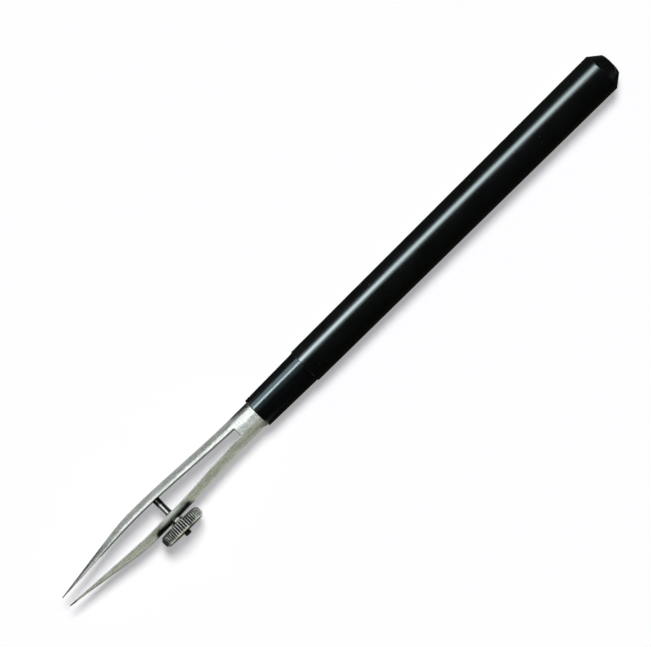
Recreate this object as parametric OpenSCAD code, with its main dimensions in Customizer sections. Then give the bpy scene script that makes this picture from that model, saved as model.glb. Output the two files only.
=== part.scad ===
// Ruling pen with a plastic handle and a sprung steel fork.
// A knurled nut on a thin stud draws the two blades together and sets the width of the inked line.
// Frame: the origin is the centre of the flat butt, +X runs along the pen to the nib tips,
// +Y is the nut's side and +Z is up. The blades' flat inner faces look at each other across Y.

/* [Handle] */
// Length of the handle tube, without the end plug and the ferrule
handle_l = 76.3; // [50:0.1:110]
// Diameter of the tube at the butt
handle_butt_d = 8.04; // [7:0.02:12]
// Diameter of the tube at the ferrule
handle_nose_d = 7.2; // [6.9:0.02:12]
// Diameter of the bore through the tube
handle_bore_d = 5; // [4.4:0.05:6]
// Radius of the tube's front edge
handle_edge_r = 0.2; // [0.05:0.05:0.5]

/* [End plug] */
// Length of the end that shows, a cone with a low dome on it
plug_end_l = 2.5; // [1.5:0.1:5]
// Diameter where the dome meets the cone
plug_dome_d = 4.5; // [3:0.1:6]
// Height of the dome
plug_dome_l = 0.24; // [0.1:0.02:0.5]
// Diameter of the flat in the middle of the dome
plug_flat_d = 2; // [1.4:0.1:2.6]
// Length of the spigot inside the tube
plug_spigot_l = 8; // [4:0.5:14]
// Number of ribs around the cone
plug_ribs = 44; // [24:1:60]
// Depth of the grooves between the ribs
plug_groove = 0.16; // [0.05:0.01:0.3]
// Width of a groove
plug_groove_w = 0.26; // [0.1:0.01:0.32]

/* [Ferrule] */
// Length of the cone that shows
ferrule_l = 12.26; // [8:0.02:16]
// Diameter of the cone at the handle
ferrule_back_d = 6.78; // [6.4:0.02:7]
// Diameter of the cone at the neck
ferrule_front_d = 6.36; // [6:0.02:6.8]
// Radius of the cone's front edge
ferrule_edge_r = 0.25; // [0.05:0.05:0.4]
// Length of the spigot inside the tube
ferrule_spigot_l = 12; // [6:0.5:20]

/* [Neck] */
// Diameter of the round shank
neck_d = 5.55; // [5:0.05:6]
// Length of the shank from the ferrule to the root of the slot
neck_l = 4.89; // [3:0.01:10]
// Diameter of the tang inside the ferrule
tang_d = 3.2; // [2:0.1:3.6]
// Length of the tang behind the shank
tang_l = 18; // [8:0.5:22]

/* [Blades] */
// Length from the root of the slot to the nib tips
blade_l = 44.05; // [38:0.05:56]
// Width of the slot at its root
slot_w = 1.74; // [1.2:0.02:2.4]
// Distance from the root of the slot to the widest place of the bow
bow_at = 23.8; // [20:0.05:28]
// Length of the round between the widest place and the straight part
bow_round_l = 6; // [3:0.5:9]
// Gap between the blades at the widest place
bow_gap = 3.8; // [3:0.02:5]
// Thickness of a blade at the widest place
bow_t = 1.68; // [1.4:0.01:2]
// Depth of a blade from edge to edge at the widest place
blade_w = 5.4; // [5:0.1:6.4]
// Distance from the root of the slot to where the edges start towards the point
taper_at = 20; // [14:0.5:24]
// Gap between the nib tips
tip_gap = 1.82; // [1.2:0.02:2.4]
// Thickness of a nib tip
tip_t = 0.2; // [0.08:0.01:0.3]

/* [Stud] */
// Distance from the root of the slot to the stud
stud_at = 19.35; // [16:0.05:23]
// Diameter of the stud
stud_d = 1.5; // [1.2:0.05:1.8]
// Diameter of the countersunk head
stud_head_d = 2.6; // [2.2:0.05:3]
// Thickness of the head's straight rim
stud_rim_t = 0.5; // [0.4:0.05:0.6]
// Diameter of the chamfered end
stud_end_d = 1.05; // [0.8:0.05:1.15]
// How far the stud stands out of the nut
stud_out = 0.82; // [0.4:0.02:1.5]

/* [Nut] */
// Diameter over the knurl
nut_d = 9.13; // [7:0.01:11]
// Thickness of the knurled disc
nut_t = 2.1; // [1.5:0.05:3]
// Chamfer on the disc's edges
nut_chamfer = 0.45; // [0.2:0.05:0.6]
// Diameter of the hub
hub_d = 2.7; // [2.4:0.1:5]
// Length of the hub, from its seat to the disc
hub_l = 0.75; // [0.5:0.05:1.2]
// Depth of the flat seat below the blade's crest
seat_depth = 0.2; // [0.1:0.01:0.4]
// Number of knurl teeth
teeth = 54; // [40:1:72]
// Depth of the knurl
tooth_depth = 0.22; // [0.1:0.01:0.3]
// Height taken off the sharp crest of each tooth
tooth_flat = 0.05; // [0.02:0.01:0.1]

/* [Fits] */
// Clearance of each push fit, all round
push_fit = 0.02; // [0.01:0.01:0.05]
// Gap between a blade's root and the neck
root_gap = 0.05; // [0.04:0.01:0.1]
// Clearance of the stud and its head in the stud blade, all round
rock_fit = 0.06; // [0.05:0.01:0.1]
// Clearance of the stud in the nut and in the nut blade, all round
thread_fit = 0.13; // [0.11:0.01:0.2]
// Gap between the nut and its seat, and around the seat
seat_gap = 0.03; // [0.02:0.01:0.06]

/* [Hidden] */

$fn = 96;
// Places along the pen, from the butt to the tips
tube_x = plug_end_l;
ferrule_x = tube_x + handle_l;
neck_x = ferrule_x + ferrule_l;
root_x = neck_x + neck_l;
stud_x = root_x + stud_at;
// Slopes of a blade's inner and outer curves at the root
root_rise_in = 0.03;
root_rise_out = 0.005;
// Rings of a blade: sections up to the taper, sections in the point, and steps around the back
body_steps = 20;
point_steps = 26;
last_turn = 86;
arc_steps = 16;
// Steps of the dome's round, from the flat to the cone
dome_steps = 4;
// Small extra length of a cut past the face that it opens
past = 1;

// Cubic from (0, y0) to (1, y1) with end slopes m0 and m1
function ease(t, y0, m0, y1, m1) =
    y0 * (1 - 3 * t * t + 2 * t * t * t) + m0 * (t - 2 * t * t + t * t * t)
    + y1 * (3 * t * t - 2 * t * t * t) + m1 * (t * t * t - t * t);

// One edge of the blade in plan at a distance s from the root: it swells to the bow, turns over in a
// parabola and then runs straight to the tip
function closing(d) = d < bow_round_l ? d * d / (2 * bow_round_l) : d - bow_round_l / 2;
function plan_curve(s, root_y, root_rise, bow_y, tip_y) =
    s < bow_at
    ? ease(s / bow_at, root_y, root_rise * bow_at, bow_y, 0)
    : bow_y + (tip_y - bow_y) * closing(s - bow_at) / closing(blade_l - bow_at);

// Distance of a blade's flat inner face and of its rounded back from the pen's axis
function inner_y(s) = plan_curve(s, slot_w / 2, root_rise_in, bow_gap / 2, tip_gap / 2);
function back_y(s) = plan_curve(s, neck_d / 2, root_rise_out, bow_gap / 2 + bow_t, tip_gap / 2 + tip_t);

// Half depth of a blade: the neck's own chord at the root, a quarter ellipse towards the point
root_half = sqrt(pow(neck_d / 2, 2) - pow(slot_w / 2, 2));
function half_depth(s) =
    s < taper_at
    ? ease(s / taper_at, root_half, 0, blade_w / 2, 0)
    : blade_w / 2 * sqrt(max(0, 1 - pow((s - taper_at) / (blade_l - taper_at), 2)));

// Section of a blade: a flat inner chord and a round back, as a segment of a circle
function back_rise(s) = back_y(s) - inner_y(s);
function back_r(s) = (pow(half_depth(s), 2) + pow(back_rise(s), 2)) / (2 * back_rise(s));
function blade_ring(s) =
    let (r = back_r(s), turn = acos((r - back_rise(s)) / r))
    [for (i = [0 : arc_steps])
        let (a = turn * (2 * i / arc_steps - 1))
        [root_x + s, back_y(s) - r + r * cos(a), r * sin(a)]];

// Distances of the sections from the root, closer together round the point
ring_at = concat(
    [for (i = [0 : body_steps - 1]) root_gap + (taper_at - root_gap) * i / body_steps],
    [for (i = [0 : point_steps]) taper_at + (blade_l - taper_at) * sin(last_turn * i / point_steps)]);

// Blade on the +Y side, skinned over its sections and closed by a flat root and a point
module blade_blank() {
    per_ring = arc_steps + 1;
    rings = len(ring_at);
    points = concat(
        [for (s = ring_at) each blade_ring(s)],
        [[root_x + blade_l, (inner_y(blade_l) + back_y(blade_l)) / 2, 0]]);
    sides = [for (j = [0 : rings - 2], i = [0 : per_ring - 1])
        let (a = j * per_ring + i, b = j * per_ring + (i + 1) % per_ring)
        each [[a, b, b + per_ring], [a, b + per_ring, a + per_ring]]];
    root = [[for (i = [per_ring - 1 : -1 : 0]) i]];
    last = (rings - 1) * per_ring;
    point = [for (i = [0 : per_ring - 1]) [last + i, last + (i + 1) % per_ring, rings * per_ring]];
    polyhedron(points, concat(root, sides, point), convexity = 4);
}

// Places across the pen at the stud
seat_y = back_y(stud_at) - seat_depth;
hub_y = seat_y + seat_gap;
disc_y = hub_y + hub_l;
nut_face_y = disc_y + nut_t;
head_y = -back_y(stud_at);
stud_end_y = nut_face_y + stud_out;

// Turns a shape that stands on Z so that it lies along the pen, or across it at the stud
module along_pen() rotate([90, 0, 90]) children();
module across_pen() translate([stud_x, 0, 0]) rotate([-90, 0, 0]) children();

// Quarter disc that rounds an outside corner at (r, h), where the profile ends
function round_corner(r, h, edge) =
    [for (a = [0 : 15 : 90]) [r - edge + edge * cos(a), h - edge + edge * sin(a)]];

module handle_tube() {
    color("#1b1b1e") along_pen() rotate_extrude()
        polygon(concat(
            [[handle_bore_d / 2, tube_x], [handle_butt_d / 2, tube_x]],
            round_corner(handle_nose_d / 2, ferrule_x, handle_edge_r),
            [[handle_bore_d / 2, ferrule_x]]));
}

// Round of the dome, an arc that leaves the flat smoothly and ends on the cone
dome_w = (plug_dome_d - plug_flat_d) / 2;
dome_r = (pow(dome_w, 2) + pow(plug_dome_l, 2)) / (2 * plug_dome_l);
dome_arc = [for (i = [0 : dome_steps])
    let (a = asin(dome_w / dome_r) * i / dome_steps)
    [plug_flat_d / 2 + dome_r * sin(a), dome_r - dome_r * cos(a)]];

// Groove along the cone, a V that is cut across the cone's slope
module plug_groove_cut() {
    cone_l = plug_end_l - plug_dome_l;
    slope = atan((handle_butt_d - plug_dome_d) / 2 / cone_l);
    translate([plug_dome_l, 0, plug_dome_d / 2]) rotate([0, 90 - slope, 0]) translate([0, 0, -past])
        linear_extrude(cone_l / cos(slope) + 2 * past)
            polygon([[plug_groove, 0], [-plug_groove, plug_groove_w], [-plug_groove, -plug_groove_w]]);
}

module end_plug() {
    color("#161618") difference() {
        along_pen() rotate_extrude()
            polygon(concat(
                [[0, 0]], dome_arc,
                [[handle_butt_d / 2, tube_x], [handle_bore_d / 2 - push_fit, tube_x],
                 [handle_bore_d / 2 - push_fit, tube_x + plug_spigot_l], [0, tube_x + plug_spigot_l]]));
        for (i = [0 : plug_ribs - 1])
            rotate([360 * i / plug_ribs, 0, 0]) plug_groove_cut();
    }
}

module nose_ferrule() {
    color("#0d0d10") along_pen() rotate_extrude()
        polygon(concat(
            [[tang_d / 2 + push_fit, ferrule_x - ferrule_spigot_l],
             [handle_bore_d / 2 - push_fit, ferrule_x - ferrule_spigot_l],
             [handle_bore_d / 2 - push_fit, ferrule_x], [ferrule_back_d / 2, ferrule_x]],
            round_corner(ferrule_front_d / 2, neck_x, ferrule_edge_r),
            [[tang_d / 2 + push_fit, neck_x]]));
}

module fork_neck() {
    color("#b9babb") along_pen() rotate_extrude()
        polygon([[0, neck_x - tang_l], [tang_d / 2, neck_x - tang_l], [tang_d / 2, neck_x],
                 [neck_d / 2, neck_x], [neck_d / 2, root_x], [0, root_x]]);
}

// Head, cone and shank of the stud as far as end_y, wider by a clearance for the hole that it sits in
module stud_shape(room, end_y) {
    cone_y = head_y + stud_rim_t;
    shank_y = cone_y + (stud_head_d - stud_d) / 2;
    across_pen() rotate_extrude()
        polygon([[0, head_y], [stud_head_d / 2 + room, head_y], [stud_head_d / 2 + room, cone_y + room],
                 [stud_d / 2 + room, shank_y + room], [stud_d / 2 + room, end_y], [0, end_y]]);
}

module stud_blade() {
    color("#b9babb") difference() {
        mirror([0, 1, 0]) blade_blank();
        stud_shape(rock_fit, 0);
    }
}

module nut_blade() {
    color("#b4b4ac") difference() {
        blade_blank();
        across_pen() cylinder(d = stud_d + 2 * thread_fit, h = nut_face_y);
        across_pen() translate([0, 0, seat_y]) cylinder(d = hub_d + 2 * seat_depth, h = nut_face_y);
    }
}

// The stud's head is filed to the round of the blade's back, and its free end is chamfered
module adjusting_stud() {
    tip_l = (stud_d - stud_end_d) / 2;
    flush_r = back_r(stud_at) - rock_fit / 2;
    color("#6f7072") {
        intersection() {
            stud_shape(0, 0);
            translate([stud_x - stud_head_d, back_r(stud_at) - back_y(stud_at), 0]) rotate([0, 90, 0])
                cylinder(r = flush_r, h = 2 * stud_head_d);
        }
        across_pen() rotate_extrude()
            polygon([[0, 0], [stud_d / 2, 0], [stud_d / 2, stud_end_y - tip_l], [stud_end_d / 2, stud_end_y],
                     [0, stud_end_y]]);
    }
}

// Toothed outline of the knurl, whose sharp crests stand outside the turned disc and are cut off by it
module knurl_outline() {
    polygon([for (i = [0 : 2 * teeth - 1])
        let (r = nut_d / 2 + (i % 2 == 0 ? tooth_flat : -tooth_depth), a = 180 * i / teeth)
        [r * cos(a), r * sin(a)]]);
}

module knurled_nut() {
    bore_r = stud_d / 2 + thread_fit;
    edge_r = nut_d / 2 - nut_chamfer;
    color("#c4c4c2") across_pen() intersection() {
        rotate_extrude()
            polygon([[bore_r, hub_y], [hub_d / 2, hub_y], [hub_d / 2, disc_y], [edge_r, disc_y],
                     [nut_d / 2, disc_y + nut_chamfer], [nut_d / 2, nut_face_y - nut_chamfer],
                     [edge_r, nut_face_y], [bore_r, nut_face_y]]);
        linear_extrude(nut_face_y + past) knurl_outline();
    }
}

handle_tube();
end_plug();
nose_ferrule();
fork_neck();
stud_blade();
nut_blade();
adjusting_stud();
knurled_nut();
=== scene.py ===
# %% [markdown]
# # A ruling pen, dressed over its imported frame
# A ruling pen draws ink lines of one even width. Ink hangs between two sprung steel blades, and a
# knurled nut on a thin stud sets the gap between their tips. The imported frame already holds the
# pen's eight solids in metres, so this lesson gives each solid a finer surface of the same size,
# and each surface a finish. Nothing is fitted by eye, because both share one frame.

# %% Load the frame
import math

import bpy
import numpy as np
from mathutils import Matrix, Vector


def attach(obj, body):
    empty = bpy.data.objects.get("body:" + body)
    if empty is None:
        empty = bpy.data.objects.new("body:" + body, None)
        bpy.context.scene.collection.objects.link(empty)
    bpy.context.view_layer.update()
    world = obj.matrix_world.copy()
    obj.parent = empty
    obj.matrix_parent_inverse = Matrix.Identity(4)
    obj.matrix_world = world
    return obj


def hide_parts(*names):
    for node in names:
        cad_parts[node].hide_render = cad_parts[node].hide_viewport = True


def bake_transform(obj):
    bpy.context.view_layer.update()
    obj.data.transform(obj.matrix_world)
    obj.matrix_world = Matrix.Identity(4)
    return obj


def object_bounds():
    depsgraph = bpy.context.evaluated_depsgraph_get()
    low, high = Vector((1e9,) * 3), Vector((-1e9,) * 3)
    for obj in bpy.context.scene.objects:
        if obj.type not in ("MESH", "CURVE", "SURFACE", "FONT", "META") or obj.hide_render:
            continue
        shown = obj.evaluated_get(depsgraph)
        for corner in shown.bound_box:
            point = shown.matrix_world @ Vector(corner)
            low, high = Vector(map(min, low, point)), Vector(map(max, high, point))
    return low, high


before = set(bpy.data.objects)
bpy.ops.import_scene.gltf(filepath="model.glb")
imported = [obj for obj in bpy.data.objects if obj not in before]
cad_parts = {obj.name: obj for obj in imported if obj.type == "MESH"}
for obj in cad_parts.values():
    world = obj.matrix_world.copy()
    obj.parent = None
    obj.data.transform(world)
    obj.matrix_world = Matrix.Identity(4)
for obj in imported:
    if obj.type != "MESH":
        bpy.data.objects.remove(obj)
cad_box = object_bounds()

MM = 0.001
print("CAD box in mm", [[round(c / MM, 2) for c in corner] for corner in cad_box])

# %% [markdown]
# ## Camera
# The photograph looks almost straight down on the pen, which lies from the upper right to the
# lower left. A camera could be aimed by hand until the picture fits. Here the pen's own direction
# in the picture turns the camera, so the match can be worked out: the axis runs 0.711 to the left
# and 0.703 down for each unit of its length. A far camera with a long lens keeps both ends of the
# pen at nearly one scale, as the photograph does, and a small lean shows the nut's outer face.

# %% Camera
picture_w = 651
mm_per_pixel = 0.18265
axis_right, axis_up = -0.711, -0.7032
lean_to_nut = math.radians(3.0)
camera_away = 1.1
picture_middle = Vector((70.6, -2.89, 0)) * MM

back = Vector((0, math.sin(lean_to_nut), math.cos(lean_to_nut)))
along_pen = Vector((1, 0, 0))
across_pen = back.cross(along_pen)
right = axis_right * along_pen - axis_up * across_pen
up = axis_up * along_pen + axis_right * across_pen
camera = bpy.data.objects.new("camera", bpy.data.cameras.new("camera"))
camera.matrix_world = (Matrix.Translation(picture_middle + camera_away * back)
                       @ Matrix((right, up, back)).transposed().to_4x4())
camera.data.lens = camera.data.sensor_width * camera_away / (picture_w * mm_per_pixel * MM)
bpy.context.scene.collection.objects.link(camera)
bpy.context.scene.camera = camera
bpy.context.scene.view_settings.view_transform = "Standard"
print("lens", round(camera.data.lens, 1), "mm from", camera_away, "m")

# %% [markdown]
# ## Floor
# The pen lies on a plain white table. The floor could be a studio sweep, but the camera looks down
# on it, so one large flat sheet is enough. It touches the lowest point of the frame, which is the
# rim of the nut. A little glow of its own keeps the shadow soft and grey instead of black.

# %% Floor
floor_z = cad_box[0].z
reach = 4.0
sheet = bpy.data.meshes.new("floor")
sheet.from_pydata([(-reach, -reach, floor_z), (reach, -reach, floor_z), (reach, reach, floor_z),
                   (-reach, reach, floor_z)], [], [(0, 1, 2, 3)])
floor = bpy.data.objects.new("floor", sheet)
bpy.context.scene.collection.objects.link(floor)

paper = bpy.data.materials.new("white_table")
paper.use_nodes = True
paper_shader = paper.node_tree.nodes["Principled BSDF"]
paper_shader.inputs["Base Color"].default_value = (0.70, 0.70, 0.70, 1)
paper_shader.inputs["Roughness"].default_value = 1.0
paper_shader.inputs["Specular IOR Level"].default_value = 0.0
paper_shader.inputs["Emission Color"].default_value = (0.97, 0.96, 1.0, 1)
paper_shader.inputs["Emission Strength"].default_value = 0.385
sheet.materials.append(paper)
print("floor at", round(floor_z / MM, 3), "mm")

# %% [markdown]
# ## Light
# In the photograph a broad lamp stands on the stud blade's side. The black handle shows it as one
# pale stripe that brightens to the front, the glossier ferrule as a grey band with a bright edge,
# and the table as a soft shadow on the nut's side. A studio would flag each lamp with cards, so
# that it reaches one part only. Light linking is Blender's card: a lamp with a receiver collection
# shines on those pieces alone.

# %% Lamps
lit_groups = ("floor", "handle", "ferrule", "fork", "stud")
lit = {name: bpy.data.collections.new("lit_" + name) for name in lit_groups}
lit["floor"].objects.link(floor)


def shine_on(lamp, group):
    """Gives a lamp a receiver collection that holds one group of pieces."""
    cards = bpy.data.collections.new("cards_" + lamp.name)
    cards.children.link(lit[group])
    lamp.light_linking.receiver_collection = cards


def softbox(name, lean, wide, back, fore, glow, colour, group, away=0.7):
    """Rectangle over the pen that faces it, leaning a number of degrees from overhead to +Y.

    wide is the angle in degrees that it fills across the pen, back and fore are the angles that it
    reaches along the pen towards the butt and the nib, and away is metres. glow is its brightness,
    where 1 is as bright as white paper. Power is glow times area times pi.
    """
    behind, ahead = (away * math.tan(math.radians(angle)) for angle in (back, fore))
    data = bpy.data.lights.new(name, "AREA")
    data.shape = "RECTANGLE"
    data.size, data.size_y = behind + ahead, 2 * away * math.tan(math.radians(wide) / 2)
    data.energy = glow * math.pi * data.size * data.size_y
    data.color = colour
    lamp = bpy.data.objects.new(name, data)
    turn = Matrix.Rotation(-math.radians(lean), 4, "X")
    lamp.matrix_world = (Matrix.Translation(picture_middle) @ turn
                         @ Matrix.Translation(((ahead - behind) / 2, 0, away)))
    bpy.context.scene.collection.objects.link(lamp)
    shine_on(lamp, group)
    print(name, "leans", lean, "fills", wide, "degrees across, power", round(data.energy, 2), "W")


sun_data = bpy.data.lights.new("table_light", "SUN")
sun_data.energy = 2.84
sun_data.angle = math.radians(20)
table_light = bpy.data.objects.new("table_light", sun_data)
falls = Vector((0.27, 0.262, -1))
table_light.matrix_world = falls.to_track_quat("-Z", "Y").to_matrix().to_4x4()
bpy.context.scene.collection.objects.link(table_light)
shine_on(table_light, "floor")

icy, teal, sky = (0.82, 0.98, 1.0), (0.66, 0.93, 1.0), (0.74, 0.88, 1.0)
cool, warm = (0.91, 0.94, 1.0), (0.97, 1.0, 0.88)
stripe_lean = -41.5
softbox("handle_core", stripe_lean, 13, 45, 45, 4.4, icy, "handle", away=0.66)
softbox("handle_middle", stripe_lean, 13, 7.4, 45, 2.9, icy, "handle", away=0.64)
softbox("handle_front", stripe_lean, 15, 1, 45, 6.6, sky, "handle", away=0.62)
softbox("handle_panel", stripe_lean, 24, 45, 45, 5.6, icy, "handle", away=0.68)
softbox("handle_halo", stripe_lean, 38, 45, 45, 2.6, icy, "handle")
softbox("ferrule_panel", -52.8, 39.6, 45, 45, 4.1, teal, "ferrule")
softbox("ferrule_line", -39.2, 8, 45, 45, 19.0, icy, "ferrule", away=0.66)
softbox("ferrule_glow", -19, 28, 45, 45, 0.4, teal, "ferrule")
softbox("fork_panel", -44.8, 65.6, 68, 27, 2.9, cool, "fork")
softbox("fork_top", 12, 42, 60, 22, 1.5, cool, "fork")
softbox("fork_side", 60, 56, 45, 45, 0.8, warm, "fork")
softbox("stud_glint", -3, 30, 9, 38, 2.7, cool, "stud")

# %% [markdown]
# A white table would draw grey lines along the sides of a black handle, and the photograph shows
# none. Photographers lay cards there, out of the lens's sight. Nearly black ones lie along the
# handle and behind its butt, grey ones along the fork, all turned up at the far side, and two small
# dark ones lie by the nut and beside the nibs. Only reflections see them.

# %% Cards
def card(name, points, faces, colour):
    """Sheets of one even brightness, which the camera and the lamps look through."""
    mesh = bpy.data.meshes.new(name)
    mesh.from_pydata(points, [], faces)
    made = bpy.data.objects.new(name, mesh)
    bpy.context.scene.collection.objects.link(made)
    for ray in ("camera", "diffuse", "transmission", "volume_scatter", "shadow"):
        setattr(made, "visible_" + ray, False)
    dull = bpy.data.materials.new(name)
    dull.use_nodes = True
    shader = dull.node_tree.nodes["Principled BSDF"]
    shader.inputs["Base Color"].default_value = (0, 0, 0, 1)
    shader.inputs["Specular IOR Level"].default_value = 0.0
    shader.inputs["Emission Color"].default_value = (*colour, 1)
    shader.inputs["Emission Strength"].default_value = 1.0
    mesh.materials.append(dull)
    print(name, "shows", colour)


card_z, card_wide, card_rise = floor_z + 0.02 * MM, 0.08, 0.016
butt_end, nib_end = -0.08, 0.24


def half_card(name, side, near, far, colour):
    """Card on one side of the pen, turned up at its far side.

    near and far are its two ends along the pen, in metres, at the pen and at the far side.
    """
    y, top = side * card_wide, card_z + card_rise
    points = [(near[0], 0, card_z), (near[1], 0, card_z), (far[1], y, card_z), (far[0], y, card_z),
              (far[1], y, top), (far[0], y, top)]
    card(name, points, [(0, 1, 2, 3), (3, 2, 4, 5)], colour)


black = (0.03, 0.03, 0.02)
for name, side, seam, far_seam, grey in (("stud_side", -1, 0.0955, 0.0930, (0.76, 0.78, 0.80)),
                                         ("nut_side", 1, 0.0915, 0.0950, (0.84, 0.86, 0.78))):
    half_card("handle_card_" + name, side, (butt_end, seam), (butt_end, far_seam), black)
    half_card("fork_card_" + name, side, (seam, nib_end), (far_seam, nib_end), grey)
butt_corners = [(-1, 0), (1, 0), (1, card_rise), (-1, card_rise)]
card("butt_card", [(butt_end, side * card_wide, card_z + rise) for side, rise in butt_corners],
     [(0, 1, 2, 3)], black)

small_card_z = floor_z + 0.04 * MM
nut_corners = [(110.4, 1.6), (120.3, 1.6), (120.3, 4), (136, 4),
               (136, 6.3), (120.3, 6.3), (120.3, 10), (110.4, 10)]
nib_corners = [(129.2, -14), (146, -14), (146, -2.2), (129.2, -2.6)]
for name, corners, shade in (("nut_card", nut_corners, (0.03, 0.03, 0.025)),
                             ("nib_card", nib_corners, (0.2, 0.2, 0.2))):
    card(name, [(x * MM, y * MM, small_card_z) for x, y in corners],
         [tuple(range(len(corners)))], shade)

# %% [markdown]
# The room itself is dim above and white at the horizon, as in a studio with a white wall. One
# gradient on the height of the view direction gives both, and a low camera then sees the wall.

# %% Room
room = bpy.data.worlds.new("room")
bpy.context.scene.world = room
room.use_nodes = True
room_tree = room.node_tree
look = room_tree.nodes.new("ShaderNodeTexCoord")
split = room_tree.nodes.new("ShaderNodeSeparateXYZ")
fade = room_tree.nodes.new("ShaderNodeMapRange")
fade.interpolation_type = "SMOOTHSTEP"
for socket, value in {"From Min": 0.06, "From Max": 0.10, "To Min": 1.0, "To Max": 0.03}.items():
    fade.inputs[socket].default_value = value
glow = room_tree.nodes["Background"].inputs
room_tree.links.new(look.outputs["Generated"], split.inputs["Vector"])
room_tree.links.new(split.outputs["Z"], fade.inputs["Value"])
room_tree.links.new(fade.outputs["Result"], glow["Strength"])
glow["Color"].default_value = (1, 1, 1, 1)
overhead = round(fade.inputs["To Max"].default_value, 3)
print("room fades from 1 at the horizon to", overhead, "overhead")

# %% [markdown]
# ## Finishes
# A finish is a short chain of nodes. Object coordinates are metres here, so a noise of scale 1000
# has spots of about a millimetre. Stretching them along the pen makes scuffs and grinding lines.
# Every finish below is one Principled shader whose colour, roughness and bump are fed by such
# noises, so the same chain works in any light.

# %% Node helpers
def start_finish(name):
    """A new material, with its tree, its Principled shader and its Object coordinates."""
    material = bpy.data.materials.new(name)
    material.use_nodes = True
    tree = material.node_tree
    place = tree.nodes.new("ShaderNodeTexCoord").outputs["Object"]
    return material, tree, tree.nodes["Principled BSDF"], place


def add(tree, kind, inputs, **settings):
    """Adds a node: inputs are plain values or other nodes' outputs, settings are its fields."""
    node = tree.nodes.new("ShaderNode" + kind)
    for field, value in settings.items():
        setattr(node, field, value)
    for socket, value in inputs.items():
        if isinstance(value, bpy.types.NodeSocket):
            tree.links.new(value, node.inputs[socket])
        else:
            node.inputs[socket].default_value = value
    return node


def noise(tree, place, stretch, detail=3.0, rough=0.55):
    """Noise on a stretched place: each number of stretch is its spots for a metre on one axis."""
    moved = add(tree, "Mapping", {"Vector": place, "Scale": stretch})
    return add(tree, "TexNoise", {"Vector": moved.outputs["Vector"], "Scale": 1.0, "Detail": detail,
                                  "Roughness": rough}).outputs["Fac"]


def between(tree, value, low, high, to_low, to_high):
    """Maps a value from one span to another and holds it at the ends."""
    spans = {"From Min": low, "From Max": high, "To Min": to_low, "To Max": to_high}
    return add(tree, "MapRange", {"Value": value, **spans}).outputs["Result"]


def shades(tree, value, *stops):
    """Colour ramp over (place, colour) stops."""
    ramp = add(tree, "ValToRGB", {"Fac": value})
    for i, (place, colour) in enumerate(stops):
        stop = ramp.color_ramp.elements[i] if i < 2 else ramp.color_ramp.elements.new(place)
        stop.position, stop.color = place, (*colour, 1)
    return ramp.outputs["Color"]


def both(tree, how, a, b):
    """Two numbers joined by one sum, such as ADD, SUBTRACT or MULTIPLY."""
    return add(tree, "Math", {0: a, 1: b}, operation=how).outputs["Value"]


def shares(tree, a, share_a, b, share_b):
    """Two numbers added up, each times its share."""
    return both(tree, "ADD", both(tree, "MULTIPLY", a, share_a), both(tree, "MULTIPLY", b, share_b))


# %% [markdown]
# ### Black plastic of the handle
# The handle is moulded in black plastic with a satin skin. Close up it has a very fine grain, long
# faint scuffs from years in a drawing case, and a few specks of dust. The scuffs are a noise
# stretched along the pen, and they change the roughness far more than the colour, as real ones do.

# %% Handle plastic
def black_plastic(name, dark, light, roughness, uneven, specular, grain_depth, dust_from):
    """Black plastic: cloudy colour, lengthwise scuffs in the roughness, dust and a fine grain.

    Scuffs add up to uneven to the roughness, and dust lies where its noise is above dust_from.
    """
    material, tree, shader, place = start_finish(name)
    cloud = noise(tree, place, (160, 260, 260))
    scuff = noise(tree, place, (70, 2600, 2600), detail=4.0)
    grain = noise(tree, place, (5200, 5200, 5200), detail=2.0)
    specks = noise(tree, place, (1500, 1500, 1500), detail=1.0)
    dust = between(tree, specks, dust_from, dust_from + 0.025, 0.0, 1.0)
    base = shades(tree, cloud, (0.35, dark), (0.68, light))
    dusty = add(tree, "Mix", {"Factor": both(tree, "MULTIPLY", dust, 0.12), "A": base,
                              "B": (0.06, 0.06, 0.057, 1)}, data_type="RGBA")
    tree.links.new(dusty.outputs["Result"], shader.inputs["Base Color"])
    rubbed = both(tree, "ADD", between(tree, scuff, 0.42, 0.70, roughness, roughness + uneven),
                  between(tree, cloud, 0.3, 0.7, -0.015, 0.025))
    dulled = both(tree, "ADD", rubbed, both(tree, "MULTIPLY", dust, 0.15))
    tree.links.new(dulled, shader.inputs["Roughness"])
    height = both(tree, "ADD", grain, both(tree, "MULTIPLY", scuff, 0.5))
    skin_bump = add(tree, "Bump", {"Height": height, "Strength": grain_depth,
                                   "Distance": 0.01 * MM})
    tree.links.new(skin_bump.outputs["Normal"], shader.inputs["Normal"])
    shader.inputs["Specular IOR Level"].default_value = specular
    return material


handle_plastic = black_plastic(
    "handle_plastic", dark=(0.0009, 0.0010, 0.0010), light=(0.0017, 0.0019, 0.0019),
    roughness=0.165, uneven=0.05, specular=0.5, grain_depth=0.20, dust_from=0.76)
plug_plastic = black_plastic(
    "plug_plastic", dark=(0.0010, 0.0011, 0.0010), light=(0.0020, 0.0021, 0.0019),
    roughness=0.28, uneven=0.06, specular=0.4, grain_depth=0.40, dust_from=0.77)
ferrule_plastic = black_plastic(
    "ferrule_plastic", dark=(0.0010, 0.0012, 0.0013), light=(0.0017, 0.0020, 0.0021),
    roughness=0.17, uneven=0.03, specular=0.5, grain_depth=0.04, dust_from=0.80)
print("plastic finishes", handle_plastic.name, plug_plastic.name, ferrule_plastic.name)
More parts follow.
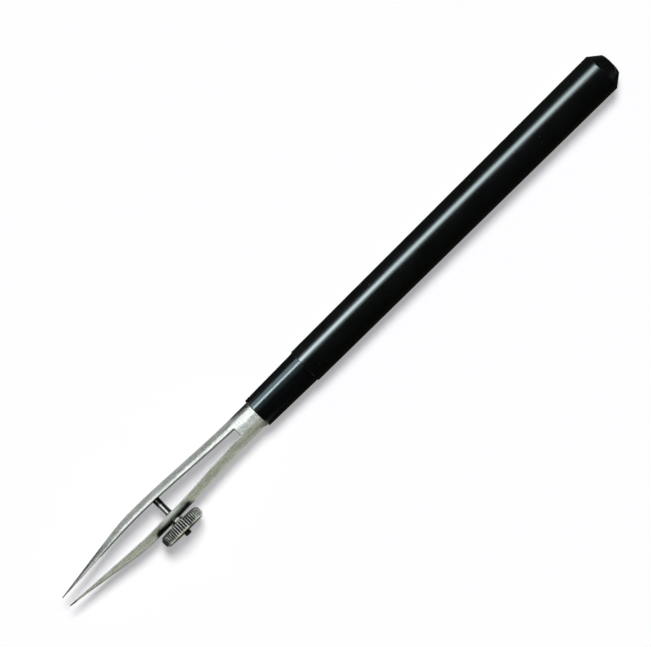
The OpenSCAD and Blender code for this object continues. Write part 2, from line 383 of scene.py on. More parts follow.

# %% [markdown]
# ### Nickel plate
# The fork is steel, ground lengthwise and then plated with nickel, so it is grey, grainy and only
# half shiny. A brushed metal could use an anisotropic shader. Here a stretched noise gives the
# grind lines and a round noise gives the grain, both as bumps, which looks right from every side.
# Where the nut overhangs the nut blade, a soft mask on the place darkens the plate: a painted
# shade of the nut.

# %% Painted shade under the nut
stud_x = 115.30
# Where the painted shade under the nut lies and how dark it is, lengths in millimetres.
nut_shade_half, nut_shade_end_fade = 4.3, 0.4
nut_shade_from, nut_shade_edge_fade, nut_shade_bow = 3.17, 0.25, 0.08
nut_shade_colour, nut_shade_depth = (0.030, 0.030, 0.025), 0.40


def painted_shade_under_nut(tree, place):
    """1 on the outside of the nut blade where the nut hides it, least at the stud, and 0 elsewhere.

    A soft step on the distance along the pen from the stud times a soft step on the place across
    the pen, to which a share of that distance is added. Lengths are in millimetres.
    """
    # The mask is a painted shade of the nut.
    x, y, _ = add(tree, "SeparateXYZ", {"Vector": place}).outputs
    from_stud = both(tree, "SUBTRACT", x, stud_x * MM)
    off = add(tree, "Math", {0: from_stud}, operation="ABSOLUTE").outputs["Value"]
    spread = both(tree, "ADD", y, both(tree, "MULTIPLY", off, nut_shade_bow))
    beside = between(tree, off, (nut_shade_half - nut_shade_end_fade) * MM,
                     (nut_shade_half + nut_shade_end_fade) * MM, 1.0, 0.0)
    outside = between(tree, spread, (nut_shade_from - nut_shade_edge_fade) * MM,
                      (nut_shade_from + nut_shade_edge_fade) * MM, 0.0, 1.0)
    return both(tree, "MULTIPLY", beside, outside)


print("grime reaches", nut_shade_half, "mm to each side of the stud")

# %% Metals
def plated_metal(name, dark, light, roughness, stretch, line_depth, grain_depth, bare=1.0):
    """Plated steel: grind lines along one way, round grain, blotchy tint and uneven roughness.

    bare is the share of clean metal, and the rest is a dull coat such as dried ink.
    """
    material, tree, shader, place = start_finish(name)
    lines = noise(tree, place, stretch, detail=5.0, rough=0.6)
    grain = noise(tree, place, (2800, 2800, 2800), detail=3.0, rough=0.6)
    blotch = noise(tree, place, (420, 900, 900), detail=3.0)
    # The nut's painted shade is taken off the tint, down to its own dark colour.
    nut_shade = both(tree, "MULTIPLY", painted_shade_under_nut(tree, place), nut_shade_depth)
    tint = both(tree, "SUBTRACT", shares(tree, blotch, 0.4, grain, 0.6), nut_shade)
    base = shades(tree, tint, (0.36, dark), (0.64, light), (0.12, nut_shade_colour))
    tree.links.new(base, shader.inputs["Base Color"])
    worn = both(tree, "ADD", between(tree, lines, 0.3, 0.7, roughness - 0.06, roughness + 0.08),
                between(tree, blotch, 0.3, 0.7, -0.04, 0.04))
    tree.links.new(worn, shader.inputs["Roughness"])
    height = shares(tree, lines, line_depth, grain, grain_depth)
    ground = add(tree, "Bump", {"Height": height, "Strength": 0.5, "Distance": 0.02 * MM})
    tree.links.new(ground.outputs["Normal"], shader.inputs["Normal"])
    shader.inputs["Metallic"].default_value = bare
    shader.inputs["Specular IOR Level"].default_value = 0.15
    return material


nickel = plated_metal(
    "satin_nickel", dark=(0.250, 0.263, 0.229), light=(0.470, 0.483, 0.448), roughness=0.27,
    stretch=(260, 5200, 5200), line_depth=1.0, grain_depth=2.4)
# Dark steel for the painted shade in the slot and for dried ink on one tip.
shade_and_ink_steel = plated_metal(
    "shade_and_ink_steel", dark=(0.020, 0.021, 0.020), light=(0.060, 0.062, 0.058), roughness=0.45,
    stretch=(260, 900, 5200), line_depth=0.7, grain_depth=0.8, bare=0.25)
print("metal finishes", nickel.name, shade_and_ink_steel.name)

# %% [markdown]
# ### Steel with painted shade
# The stud is bare steel with a bright middle. Towards the stud blade it is darkened: a painted
# shade of that blade. The free end past the nut is dark too. The place across the pen is the second
# of the Object coordinates, so one gradient on it gives bright and dark without an image.

# %% Stud finish
def steel_with_painted_shade(name):
    """Steel that is bright from just inside the stud blade to the nut and dark at both ends."""
    material, tree, shader, place = start_finish(name)
    across = add(tree, "SeparateXYZ", {"Vector": place}).outputs["Y"]
    lines = noise(tree, place, (5200, 700, 5200), detail=4.0)
    blotch = noise(tree, place, (900, 900, 900), detail=3.0)
    uneven = both(tree, "ADD", across, between(tree, blotch, 0.3, 0.7, -0.3 * MM, 0.3 * MM))
    # Dark towards the stud blade is a painted shade of that blade; dark past the nut is the free
    # end.
    bright = both(tree, "MULTIPLY", between(tree, uneven, -0.8 * MM, -0.3 * MM, 0.0, 1.0),
                  between(tree, uneven, 3.5 * MM, 4.5 * MM, 1.0, 0.0))
    tone = both(tree, "MULTIPLY", bright, between(tree, lines, 0.2, 0.8, 0.7, 1.0))
    base = shades(tree, tone, (0.0, (0.035, 0.035, 0.033)), (1.0, (0.34, 0.35, 0.34)))
    tree.links.new(base, shader.inputs["Base Color"])
    tree.links.new(between(tree, lines, 0.3, 0.7, 0.18, 0.26), shader.inputs["Roughness"])
    turned_lines = add(tree, "Bump", {"Height": lines, "Strength": 0.2, "Distance": 0.01 * MM})
    tree.links.new(turned_lines.outputs["Normal"], shader.inputs["Normal"])
    shader.inputs["Metallic"].default_value = 1.0
    return material


stud_steel = steel_with_painted_shade("stud_steel")
print("stud finish", stud_steel.name)

# %% [markdown]
# ### Knurled nickel
# The nut wears the same plate, with bright, rubbed teeth. The knurl between them is dark: in part
# soiling, in part a painted shade in the grooves. The piece brings an attribute called groove, 0 on
# a crest and 1 at the bottom of a tooth, and the finish darkens and dulls the metal with it. An
# image texture could do the same, and this needs none.

# %% Nut finish
def knurled_metal(name):
    """Nickel whose colour goes from bright crest to dark groove with the groove attribute."""
    material, tree, shader, place = start_finish(name)
    groove = add(tree, "Attribute", {}, attribute_name="groove").outputs["Fac"]
    grain = noise(tree, place, (3800, 3800, 3800), detail=3.0)
    blotch = noise(tree, place, (900, 900, 900), detail=2.0)
    uneven = both(tree, "ADD", between(tree, grain, 0.3, 0.7, -0.18, 0.18),
                  between(tree, blotch, 0.3, 0.7, -0.14, 0.14))
    # Soiling and painted shade: the deeper the groove, the darker and duller the metal.
    dirt_and_shade = both(tree, "ADD", groove, uneven)
    base = shades(tree, dirt_and_shade, (0.0, (0.60, 0.61, 0.57)), (0.55, (0.030, 0.033, 0.027)),
                  (0.09, (0.38, 0.39, 0.35)), (0.26, (0.14, 0.15, 0.125)))
    tree.links.new(base, shader.inputs["Base Color"])
    tree.links.new(between(tree, dirt_and_shade, -0.2, 1.0, 0.14, 0.52), shader.inputs["Roughness"])
    pits = add(tree, "Bump", {"Height": grain, "Strength": 0.35, "Distance": 0.02 * MM})
    tree.links.new(pits.outputs["Normal"], shader.inputs["Normal"])
    tree.links.new(between(tree, dirt_and_shade, 0.55, 0.90, 1.0, 0.0), shader.inputs["Metallic"])
    shader.inputs["Specular IOR Level"].default_value = 0.1
    return material


nut_nickel = knurled_metal("knurled_nickel")
print("nut finish", nut_nickel.name)

# %% [markdown]
# ## Surfaces
# Every piece below is a grid of points that a formula fills in one go, with no loop over vertices.
# One helper turns a grid into a mesh: neighbours share a quad, the grid closes around the piece,
# and each end is closed by a fan or by joining the last row to the first. The signed volume is
# printed, because it is negative when the faces point inwards.

# %% Grid to mesh
def skin(grid, start=None, end=None):
    """Points and faces over a grid of shape (rows, around, 3), closed around.

    start and end are the points that close the two ends with a fan of triangles. With neither, the
    last row joins the first, so that the skin is a ring.
    """
    rows, around = grid.shape[:2]
    index = np.arange(rows * around).reshape(rows, around)
    points = [grid.reshape(-1, 3)]
    here, ahead = (index, np.roll(index, -1, 0)) if start is None else (index[:-1], index[1:])
    quads = np.stack([here, np.roll(here, -1, 1), np.roll(ahead, -1, 1), ahead], -1).reshape(-1, 4)
    faces = quads.tolist()
    if start is not None:
        points.append(np.array([start, end], float))
        tip = rows * around
        first, last = index[0], index[-1]
        faces += np.stack([np.roll(first, -1), first, np.full(around, tip)], -1).tolist()
        faces += np.stack([last, np.roll(last, -1), np.full(around, tip + 1)], -1).tolist()
    return np.concatenate(points), faces


def volume(mesh):
    """Signed volume: the sum over triangles of the triple product of their corners, over six."""
    mesh.calc_loop_triangles()
    corners = np.empty(3 * len(mesh.loop_triangles), int)
    mesh.loop_triangles.foreach_get("vertices", corners)
    co = np.empty(3 * len(mesh.vertices))
    mesh.vertices.foreach_get("co", co)
    a, b, c = co.reshape(-1, 3)[corners.reshape(-1, 3)].transpose(1, 0, 2)
    return float(np.einsum("ij,ij->i", a, np.cross(b, c)).sum() / 6)


plain_crease = 35


def make_piece(name, skinned, finish, crease=plain_crease):
    """Mesh object from points in millimetres, smooth but for edges sharper than the crease."""
    points, faces = skinned
    mesh = bpy.data.meshes.new(name)
    mesh.from_pydata((points * MM).tolist(), [], faces)
    mesh.shade_smooth()
    mesh.set_sharp_from_angle(angle=math.radians(crease))
    mesh.materials.append(finish)
    made = bpy.data.objects.new(name, mesh)
    bpy.context.scene.collection.objects.link(made)
    print(name, len(faces), "faces,", round(volume(mesh) / MM ** 3, 2), "cubic mm")
    return made


def seat_piece(made, node, group, body=None):
    """Lets a piece stand for a CAD node, its lamps and the body it rides on."""
    lit[group].objects.link(made)
    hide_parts(node)
    if body:
        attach(made, body)


print("a ring of 3 rows of 4 points has", len(skin(np.zeros((3, 4, 3)))[1]), "faces")

# %% [markdown]
# ## Turned pieces
# Handle, plug, ferrule and neck were turned or moulded round, so each is a profile carried around
# the pen's axis. Blender's Spin tool could do that. Two small arrays do it here: the profile gives
# the place along the axis and the radius, and cosine and sine of the turn give the rest.

# %% Profiles around an axis
def turned(profile, around):
    """Grid around the pen's axis: a profile row (h, r) becomes (h, r cos t, r sin t)."""
    turn = 2 * np.pi * np.arange(around) / around
    h, r = np.asarray(profile, float).T[:, :, None]
    return np.stack(np.broadcast_arrays(h, r * np.cos(turn), r * np.sin(turn)), -1)


def rounded(centre, edge, start, stop, steps=5):
    """Points of a round: centre (h, r) plus edge times (cos a, sin a), with a in degrees."""
    a = np.radians(np.linspace(start, stop, steps))
    h, r = centre
    return np.stack([h + edge * np.cos(a), r + edge * np.sin(a)], -1)


def straight(h0, r0, h1, r1, steps):
    """Evenly spaced points from one end of a straight profile to the other."""
    return np.stack([np.linspace(h0, h1, steps), np.linspace(r0, r1, steps)], -1)


ends = rounded((0, 0), 1, 180, 90)[[0, -1]].round(2).tolist()
print("a round of 1 mm runs from", ends[0], "to", ends[1])

# %% [markdown]
# The handle tube tapers a little, as a moulded part must to leave its mould: its radius drops by
# the draft for each millimetre. Its front edge is rounded by 0.1 mm. The back edge keeps a hair of
# a round, which draws the fine line to the end plug.

# %% Handle tube
tube_x, ferrule_x = 2.5, 78.8
butt_r, nose_r, bore_r = 4.02, 3.6, 2.5
front, hair, draft = 0.1, 0.05, 0.0055
tube_profile = np.concatenate([
    straight(tube_x, bore_r, tube_x, butt_r - hair, 3)[:-1],
    rounded((tube_x + hair, butt_r - hair), hair, 180, 90),
    straight(tube_x + 1, butt_r - draft, ferrule_x - 1, nose_r + draft, 60),
    rounded((ferrule_x - front, nose_r - front), front, 90, 0, 8),
    straight(ferrule_x, nose_r - 2 * front, ferrule_x, bore_r, 3),
    straight(ferrule_x - 1, bore_r, tube_x + 1, bore_r, 12)])
handle_tube = make_piece("handle_tube_skin", skin(turned(tube_profile, 192)), handle_plastic)
seat_piece(handle_tube, "handle_tube", "handle", "handle")

# %% [markdown]
# The end plug is a short cone with a low dome on it and fine ribs to grip it by. The ribs are a
# wave around the cone: the radius drops by a V-shaped groove, 44 times in a turn, and the V grows
# shallow towards the dome and the tube. Modelled ribs catch the lamp as the real ones do and show
# on the outline, which a bump alone would not.

# %% End plug
ribs, per_rib, groove_deep, groove_half = 44, 16, 0.16, 0.24
fade_from, dome_fade, tube_fade = 0.06, 0.3, 0.2
flat_r, dome_edge_r, dome_l, spigot_r, spigot_end = 1.0, 2.25, 0.24, 2.48, 10.5
cone_from, cone_up, cone_to, cone_down = 0.03, 0.0235, 0.12, 0.094
dome_r = ((dome_edge_r - flat_r) ** 2 + dome_l ** 2) / (2 * dome_l)
dome_turn = np.arcsin((dome_edge_r - flat_r) / dome_r) * np.linspace(0, 1, 9)
plug_profile = np.concatenate([
    straight(0, 0.4, 0, flat_r - 0.2, 3),
    np.stack([dome_r * (1 - np.cos(dome_turn)), flat_r + dome_r * np.sin(dome_turn)], -1),
    straight(dome_l + cone_from, dome_edge_r + cone_up, tube_x - cone_to, butt_r - cone_down, 14),
    rounded((tube_x - hair, butt_r - hair), hair, 90, 0, 4),
    straight(tube_x, butt_r - 0.4, tube_x, spigot_r, 3),
    straight(tube_x + 0.5, spigot_r, spigot_end, spigot_r, 5),
    straight(spigot_end, spigot_r - 0.5, spigot_end, 0.6, 3)])


def ribbed(grid):
    """Turned grid with V-shaped grooves on its cone.

    The radius loses groove_deep times a V on the turn, groove_half of a rib to each side, times
    a fade on the place along the pen at the dome and one at the tube.
    """
    h, y, z = grid.transpose(2, 0, 1)
    phase = np.arctan2(z, y) * ribs / (2 * np.pi)
    vee = np.clip(1 - np.abs(phase - np.round(phase)) / groove_half, 0, 1)
    on_cone = np.clip((h - fade_from) / dome_fade, 0, 1) * np.clip((tube_x - h) / tube_fade, 0, 1)
    r = np.hypot(y, z)
    lower = 1 - groove_deep * vee * on_cone / r
    return np.stack([h, y * lower, z * lower], -1)


plug_grid = ribbed(turned(plug_profile, ribs * per_rib))
plug_skin = skin(plug_grid, (0, 0, 0), (spigot_end, 0, 0))
end_plug = make_piece("end_plug_skin", plug_skin, plug_plastic, crease=50)
seat_piece(end_plug, "end_plug", "handle", "handle")

# %% [markdown]
# The ferrule is the glossier cone between handle and metal. It is slimmer than the handle, so a
# small step shows between them, and its front edge is rounded where it meets the neck.

# %% Nose ferrule
neck_x = 91.06
ferrule_back_r, ferrule_front_r, tang_bore_r, ferrule_in = 3.39, 3.18, 1.62, 66.8
nose = 0.25
taper_from, taper_down, taper_to, taper_up = 0.5, 0.009, 0.6, 0.0107
ferrule_profile = np.concatenate([
    straight(ferrule_in, tang_bore_r, ferrule_in, spigot_r, 3),
    straight(ferrule_in + 1, spigot_r, ferrule_x, spigot_r, 8),
    straight(ferrule_x, spigot_r + 0.3, ferrule_x, ferrule_back_r - hair, 3),
    rounded((ferrule_x + hair, ferrule_back_r - hair), hair, 180, 90, 4),
    straight(ferrule_x + taper_from, ferrule_back_r - taper_down,
             neck_x - taper_to, ferrule_front_r + taper_up, 14),
    rounded((neck_x - nose, ferrule_front_r - nose), nose, 90, 0, 9),
    straight(neck_x, ferrule_front_r - 2 * nose, neck_x, tang_bore_r, 4),
    straight(neck_x - 1, tang_bore_r, ferrule_in + 1, tang_bore_r, 8)])
nose_ferrule = make_piece("nose_ferrule_skin", skin(turned(ferrule_profile, 160)), ferrule_plastic)
seat_piece(nose_ferrule, "nose_ferrule", "ferrule", "handle")

# %% [markdown]
# The neck is the round shank that the two blades spring from. Its front face is the end wall of the
# slot, so it stays a plain sharp disc. A thin dark line there is a painted shade in the slot's
# corner. A piece can wear two finishes: each face holds the number of its own, and whole arrays set
# them in one go.

# %% A second finish on some faces
def face_values(made, what):
    """One row of three numbers for each face of a piece: its center or its normal."""
    values = np.empty(3 * len(made.data.polygons))
    made.data.polygons.foreach_get(what, values)
    return values.reshape(-1, 3)


def paint(made, chosen, finish):
    """Gives the chosen faces of a piece one more finish: chosen is true or false for each face."""
    finishes = made.data.materials
    finishes.append(finish)
    made.data.polygons.foreach_set("material_index", chosen.astype(np.int32) * (len(finishes) - 1))
    print(made.name, int(chosen.sum()), "faces in", finish.name)


# %% Fork neck
root_x, slot_half, slot_shade_line = 95.95, 0.87, 0.12
neck_r, tang_r, tang_end = 2.775, 1.6, 73.06
neck_profile = np.concatenate([
    straight(tang_end, 0.4, tang_end, tang_r, 3),
    straight(tang_end + 0.5, tang_r, neck_x, tang_r, 8),
    straight(neck_x, tang_r + 0.2, neck_x, neck_r, 3),
    straight(neck_x + 0.2, neck_r, root_x - slot_shade_line, neck_r, 14),
    straight(root_x, neck_r, root_x, 0.4, 5)])
neck_skin = skin(turned(neck_profile, 160), (tang_end, 0, 0), (root_x, 0, 0))
fork_neck = make_piece("fork_neck_skin", neck_skin, nickel)
along, across, _ = face_values(fork_neck, "center").T / MM
# A painted shade line on the slot's end wall.
paint(fork_neck, (along > root_x - slot_shade_line) & (np.abs(across) < slot_half), shade_and_ink_steel)
seat_piece(fork_neck, "fork_neck", "fork", "handle")

# %% [markdown]
# ## The blades
# Each blade is a bowed steel spring: flat inside, round outside, swelling to the bow and running
# straight from there to a thin rounded nib. It could be cut from a solid with many tools. A loft is
# simpler: three curves along the blade give the inner face, the back and the half depth. At each
# place the section is a flat chord under a round back, with its two long edges eased by a small
# round.

# %% Curves along a blade
blade_l, bow_at, bow_round, taper_at = 44.05, 23.8, 6.0, 20.0
rise_in, bow_in, tip_in = 0.03, 1.90, 0.91
rise_out, bow_out, tip_out = 0.005, 3.58, 1.11
bow_half = 2.7


def ease(t, y0, m0, y1, m1):
    """Cubic from y0 to y1 over t from 0 to 1, leaving with slope m0 and arriving with slope m1."""
    return (y0 * (1 - 3 * t ** 2 + 2 * t ** 3) + m0 * (t - 2 * t ** 2 + t ** 3)
            + y1 * (3 * t ** 2 - 2 * t ** 3) + m1 * (t ** 3 - t ** 2))


def closing(d):
    """How a blade closes past the bow: a parabola over the rounded part, then a straight line."""
    return np.where(d < bow_round, d ** 2 / (2 * bow_round), d - bow_round / 2)


def plan_curve(s, root, rise, bow, tip):
    """Swells from root to bow with a cubic, turns over and then runs straight to the tip."""
    swell = ease(s / bow_at, root, rise * bow_at, bow, 0)
    closed = closing(s - bow_at) / closing(blade_l - bow_at)
    return np.where(s < bow_at, swell, bow + (tip - bow) * closed)


def inner_y(s):
    """Distance of the flat inner face from the pen's axis."""
    return plan_curve(s, slot_half, rise_in, bow_in, tip_in)


def back_y(s):
    """Distance of the crest of the rounded back from the pen's axis."""
    return plan_curve(s, neck_r, rise_out, bow_out, tip_out)


def half_depth(s):
    """The neck's own chord at the root, easing to the bow's, then a quarter ellipse to the tip."""
    root_half = math.sqrt(neck_r ** 2 - slot_half ** 2)
    swell = ease(s / taper_at, root_half, 0, bow_half, 0)
    point = np.clip((s - taper_at) / (blade_l - taper_at), 0, 1)
    return np.where(s < taper_at, swell, bow_half * np.sqrt(1 - point ** 2))


def back_round(s):
    """Radius of the back: (half depth squared plus thickness squared) over twice the thickness."""
    thick = back_y(s) - inner_y(s)
    return (half_depth(s) ** 2 + thick ** 2) / (2 * thick)


stations = np.array([0, bow_at, blade_l])
thickness = np.round(back_y(stations) - inner_y(stations), 2)
print("blade in mm at root, bow and tip", thickness, "thick")

# %% [markdown]
# The eased edge is a small circle that touches the flat inside and the round back. Its centre lies
# one edge radius e above the flat, at b times the root of 1 minus 2e over t from the middle, where
# b is the half depth and t the thickness. Where the blade is thin, e is a share of t. That keeps
# the whole section one closed loop for any place.

# %% Blade surface
edge_round, edge_share = 0.12, 0.35


def blade_surface(side, body_rows=80, point_rows=100, back_steps=56, edge_steps=6, flat_steps=20):
    """Loft of a blade: rows along s, and around each row the back, an edge, the flat and an edge.

    Past the taper the rows follow the sine of an even turn, so they crowd towards the tip, and the
    last one stands 2 degrees short of it. The other blade is the mirror image, with each row
    turned round so that its faces still point outwards.
    """
    point_turn = np.radians(np.linspace(0, 88, point_rows))
    s = np.concatenate([np.linspace(0, taper_at, body_rows, endpoint=False),
                        taper_at + (blade_l - taper_at) * np.sin(point_turn)])[:, None]
    inner, crest, r = inner_y(s), back_y(s), back_round(s)
    thick = crest - inner
    e = np.minimum(edge_round, edge_share * thick)
    centre = crest - r
    edge_y, edge_z = inner + e, half_depth(s) * np.sqrt(1 - 2 * e / thick)
    lean = np.arctan2(edge_z, edge_y - centre)
    a = lean * np.linspace(-1, 1, back_steps)
    y_back, z_back = centre + r * np.cos(a), r * np.sin(a)
    b = lean + (np.pi - lean) * np.linspace(0, 1, edge_steps + 1)[1:]
    y_edge, z_edge = edge_y + e * np.cos(b), edge_z + e * np.sin(b)
    z_flat = edge_z * np.linspace(1, -1, flat_steps + 1)[1:]
    y_flat = np.broadcast_to(inner, z_flat.shape)
    y_low, z_low = y_edge[:, ::-1][:, 1:], -z_edge[:, ::-1][:, 1:]
    y = np.concatenate([y_back, y_edge, y_flat, y_low], 1)
    z = np.concatenate([z_back, z_edge, z_flat, z_low], 1)
    grid = np.stack(np.broadcast_arrays(root_x + s, y, z), -1)
    if side < 0:
        grid = grid[:, ::-1] * (1, -1, 1)
    root = (root_x, side * (slot_half + neck_r) / 2, 0)
    tip = (root_x + blade_l, side * (tip_in + tip_out) / 2, 0)
    return skin(grid, root, tip)


print("a blade spans", np.ptp(blade_surface(1)[0], axis=0).round(2), "mm")

# %% [markdown]
# The stud goes through both blades: it has a countersunk seat in one and a plain hole with a flat
# seat for the nut in the other. Such holes are what a boolean cut is for. The cutters are turned
# surfaces across the pen, the cut is applied, and the cutters are thrown away.

# %% Turning across the pen
stud_r, head_r, rim_t, stud_end_r = 0.75, 1.3, 0.5, 0.525
seat_deep, nut_gap, hub_l, nut_t, stands_out = 0.2, 0.03, 0.75, 2.10, 0.82
head_y = -float(back_y(np.float64(stud_x - root_x)))
seat_y = -head_y - seat_deep
hub_y = seat_y + nut_gap
disc_y = hub_y + hub_l
face_y = disc_y + nut_t
stud_end_y = face_y + stands_out


def turned_across(profile, around):
    """Grid around the stud's axis: a profile row (h, r) becomes (stud + r sin t, h, r cos t)."""
    h, y, z = turned(profile, around).transpose(2, 0, 1)
    return np.stack([stud_x + z, h, y], -1)


def cut(made, profile, around=96):
    """Cuts a turned hole across the pen out of a piece and keeps the result as its mesh."""
    low, high = ((stud_x, profile[row][0], 0) for row in (0, -1))
    knife = make_piece("knife", skin(turned_across(profile, around), low, high), nickel)
    step = made.modifiers.new("hole", "BOOLEAN")
    step.operation, step.solver, step.object = "DIFFERENCE", "EXACT", knife
    bpy.context.view_layer.update()
    depsgraph = bpy.context.evaluated_depsgraph_get()
    opened = bpy.data.meshes.new_from_object(made.evaluated_get(depsgraph))
    made.modifiers.clear()
    made.data = opened
    bpy.data.objects.remove(knife)


print("the nut seats", round(seat_y, 2), "mm from the axis, and its faces lie at",
      round(disc_y, 2), "and", round(face_y, 2), "mm")

# %% [markdown]
# The real neck and blades are one forging that bends near the root of the slot.
# The flat insides are darker up to near the nibs: a painted shade between the blades.
# Dried ink darkens one tip.

# %% Both blades
rock_room, thread_room, seat_r = 0.025, 0.13, 1.55
inside_shade_end_x, inside_shade_bow, inked_tip_x, flat_enough = 130.0, 0.2, 138.4, 0.97


def shade_inside_and_ink_tip(made, side):
    """Darkens the faces that look at the pen's axis, up to near the nibs, with painted shade, and
    the nut blade's tip with dried ink.

    The painted shade ends in a parabola: its place along the pen falls with the square of z.
    """
    x, _, z = face_values(made, "center").T / MM
    looks_in = face_values(made, "normal")[:, 1] * side < -flat_enough
    # Painted shade on the insides, dried ink on the nut blade's tip.
    darkened = looks_in & (x < inside_shade_end_x - inside_shade_bow * z ** 2) | (side * x > inked_tip_x)
    paint(made, darkened, shade_and_ink_steel)


sink_r, shank_r, hole_r = head_r + rock_room, stud_r + rock_room, stud_r + thread_room
sink_y = head_y + rim_t + rock_room
stud_blade = make_piece("stud_blade_skin", blade_surface(-1), nickel)
cut(stud_blade, [(head_y - 0.5, sink_r), (sink_y, sink_r),
                 (sink_y + head_r - stud_r, shank_r), (0, shank_r)])
nut_blade = make_piece("nut_blade_skin", blade_surface(1), nickel)
cut(nut_blade, [(0, hole_r), (seat_y, hole_r), (seat_y, seat_r), (face_y, seat_r)])
for made, node, side in ((stud_blade, "stud_blade", -1), (nut_blade, "nut_blade", 1)):
    made.data.set_sharp_from_angle(angle=math.radians(plain_crease))
    shade_inside_and_ink_tip(made, side)
    seat_piece(made, node, "fork")
    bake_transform(made)
    print(made.name, "after the cut", round(volume(made.data) / MM ** 3, 2), "cubic mm")

# %% [markdown]
# ## Stud and nut
# The stud is a thin screw. Its head is filed flush with the back of the blade, so the head's rows
# take their height from the same back curve, and it is plated like the blade. The free end carries
# a fine thread, a helix: the radius falls and rises with the distance along the stud minus the
# turn, once in each pitch.

# %% Adjusting stud
pitch, thread_deep, thread_from, head_sunk = 0.35, 0.15, 1.6, 0.01
flank_steep, crest_flat = 1.35, 0.1


def stud_surface(around=48):
    """Flush head, cone, plain shank, helical thread and a chamfered end, turned across the pen.

    The head's top is the blade's round back: its centre plus the root of its radius squared minus
    z squared. The thread takes off its depth times a zigzag of the height over the pitch minus the
    turn, held flat at crest and root, and starts over one pitch.
    """
    top = straight(head_y, 0.25, head_y, head_r - 0.03, 6)
    lower = np.concatenate([
        straight(head_y + 0.42, head_r, head_y + rim_t, head_r, 2),
        straight(head_y + rim_t + head_r - stud_r, stud_r, thread_from - 0.2, stud_r, 24)])
    screw = straight(thread_from, stud_r, stud_end_y - 0.24, stud_r, 190)
    end = np.array([(stud_end_y - 0.2, stud_r - 0.03), (stud_end_y - 0.02, stud_end_r),
                    (stud_end_y, stud_end_r - 0.05)])
    grid = turned_across(np.concatenate([top, lower, screw, end]), around)
    x, y, z = grid.transpose(2, 0, 1)
    head = slice(len(top))
    s = x[head] - root_x
    y[head] = -(back_y(s) - back_round(s) + np.sqrt(back_round(s) ** 2 - z[head] ** 2)) + head_sunk
    rows = slice(len(top) + len(lower), -len(end))
    turn = np.arctan2(x[rows] - stud_x, z[rows]) / (2 * np.pi)
    wave = np.abs(2 * ((y[rows] / pitch - turn) % 1) - 1)
    run_in = np.clip((y[rows] - thread_from) / pitch, 0, 1)
    groove = np.clip(flank_steep * wave - crest_flat, 0, 1)
    lower_r = 1 - thread_deep * groove * run_in / stud_r
    x[rows], z[rows] = stud_x + (x[rows] - stud_x) * lower_r, z[rows] * lower_r
    return skin(np.stack([x, y, z], -1), (stud_x, head_y + head_sunk, 0), (stud_x, stud_end_y, 0))


adjusting_stud = make_piece("adjusting_stud_skin", stud_surface(), stud_steel, 40)
paint(adjusting_stud, face_values(adjusting_stud, "center")[:, 1] < (head_y + rim_t) * MM, nickel)
seat_piece(adjusting_stud, "adjusting_stud", "stud", "stud")

# %% [markdown]
# The nut is a turned disc with a hub, and a straight knurl is pressed into its rim: 54 teeth with
# flat crests and sharp grooves. At each turn the outline of the teeth gives the rim's radius, and
# both chamfers run up to that radius and no further, so the teeth end in the small triangles that
# a real knurl shows. The groove attribute is how far the rim lies below the crest, and more on the
# nib side of the rim, which carries a painted shade. The knurl runs out over the inner chamfer,
# while the outer chamfer was turned after it and stays clean. The outer face and the bore are a
# little darker: a painted shade. The knurl runs out over the inner chamfer, while the outer chamfer
# and
# the faces were turned after it and stay clean.

# %% Knurled nut
teeth, tooth_deep, tooth_flat = 54, 0.22, 0.05
nut_r, chamfer, hub_r, nut_bore_r = 4.565, 0.45, 1.35, 0.82
shade_side_from, shade_side_fade, shade_side_depth = 0.80, 0.12, 0.6


def knurl(around):
    """Rim radius around the nut: straight flanks from crest to groove, cut flat at the crest."""
    phase = np.arange(around) * teeth / around
    down = 2 * np.abs(phase - np.round(phase))
    return np.minimum(nut_r, nut_r + tooth_flat - (tooth_flat + tooth_deep) * down)


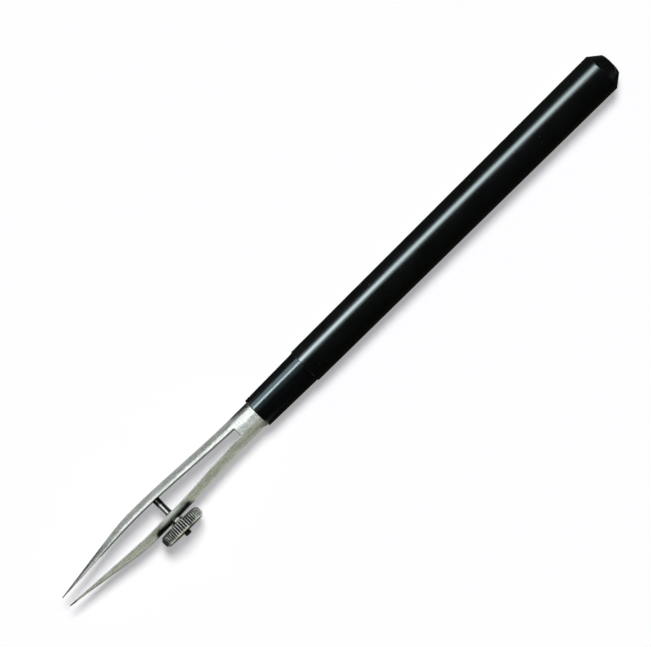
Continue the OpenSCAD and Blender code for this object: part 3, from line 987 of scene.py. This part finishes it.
def nut_surface(per_tooth=8, chamfer_rows=6, rim_rows=5):
    """Bore, hub, inner face, chamfer, knurled rim, chamfer, outer face and bore again, as one ring.

    Also gives each point's groove: how far the rim lies below the crest, with a value of its own
    for each flat row, and more on the nib side, where the sine of the turn is largest. The extra on
    the nib side is painted shade.
    """
    around = teeth * per_tooth
    rim = knurl(around)[None, :]
    edge = nut_r - chamfer
    up_chamfer = np.linspace(0, 1, chamfer_rows)[:, None]
    over_rim = np.linspace(0, 1, rim_rows + 2)[1:-1, None]
    r_in = edge + (rim - edge) * up_chamfer
    h_in = disc_y + (r_in - edge)
    r_out, h_out = r_in[::-1], face_y - (r_in[::-1] - edge)
    h_rim = h_in[-1:] + (h_out[:1] - h_in[-1:]) * over_rim
    plain = [(nut_bore_r, hub_y + 0.12), (nut_bore_r + 0.12, hub_y), (hub_r - 0.06, hub_y),
             (hub_r, hub_y + 0.06), (hub_r, disc_y - 0.08), (hub_r + 0.08, disc_y),
             (hub_r + 1.2, disc_y), (edge - 0.15, disc_y)]
    # Flat rows: darker at the bore's mouth and the hub's foot, soiling and painted shade; the inner
    # face is cleaner.
    plain_dirt_and_shade = [0.6, 0.1, 0.0, 0.0, 0.35, 0.3, -0.2, -0.2]
    ending = [(edge - 0.15, face_y), (hub_r + 1.2, face_y), (1.5, face_y),
              (nut_bore_r + 0.2, face_y), (nut_bore_r, face_y - 0.2), (nut_bore_r, face_y - 1.0),
              (nut_bore_r, hub_y + 1.0)]
    # The outer face and the bore are a little darker: a painted shade.
    ending_dirt_and_shade = 0.15
    flat = [np.repeat(np.array(part)[:, :, None], around, 2) for part in (plain, ending)]
    r = np.concatenate([flat[0][:, 0], r_in, np.repeat(rim, rim_rows, 0), r_out, flat[1][:, 0]])
    h = np.concatenate([flat[0][:, 1], h_in, h_rim, h_out, flat[1][:, 1]])
    turn = 2 * np.pi * np.arange(around) / around
    grid = np.stack([stud_x + r * np.sin(turn), h, r * np.cos(turn)], -1)
    deep = np.clip((nut_r - rim) / tooth_deep, 0, 1) * np.ones_like(r)
    deep[:len(plain)] = np.array(plain_dirt_and_shade)[:, None]
    outer_chamfer = slice(1 - chamfer_rows - len(ending), -len(ending))
    deep[outer_chamfer] = 0.0
    deep[-len(ending):] = ending_dirt_and_shade
    # A painted shade on the nib side of the rim.
    shade_side = np.clip((np.sin(turn) - shade_side_from) / shade_side_fade, 0, 1)
    deep[len(plain):-len(ending)] += shade_side_depth * shade_side
    return skin(grid), deep


nut_skin, nut_groove = nut_surface()
knurled_nut = make_piece("knurled_nut_skin", nut_skin, nut_nickel, 25)
groove_map = knurled_nut.data.attributes.new("groove", "FLOAT", "POINT")
groove_map.data.foreach_set("value", nut_groove.astype(np.float32).ravel())
seat_piece(knurled_nut, "knurled_nut", "fork", "nut")
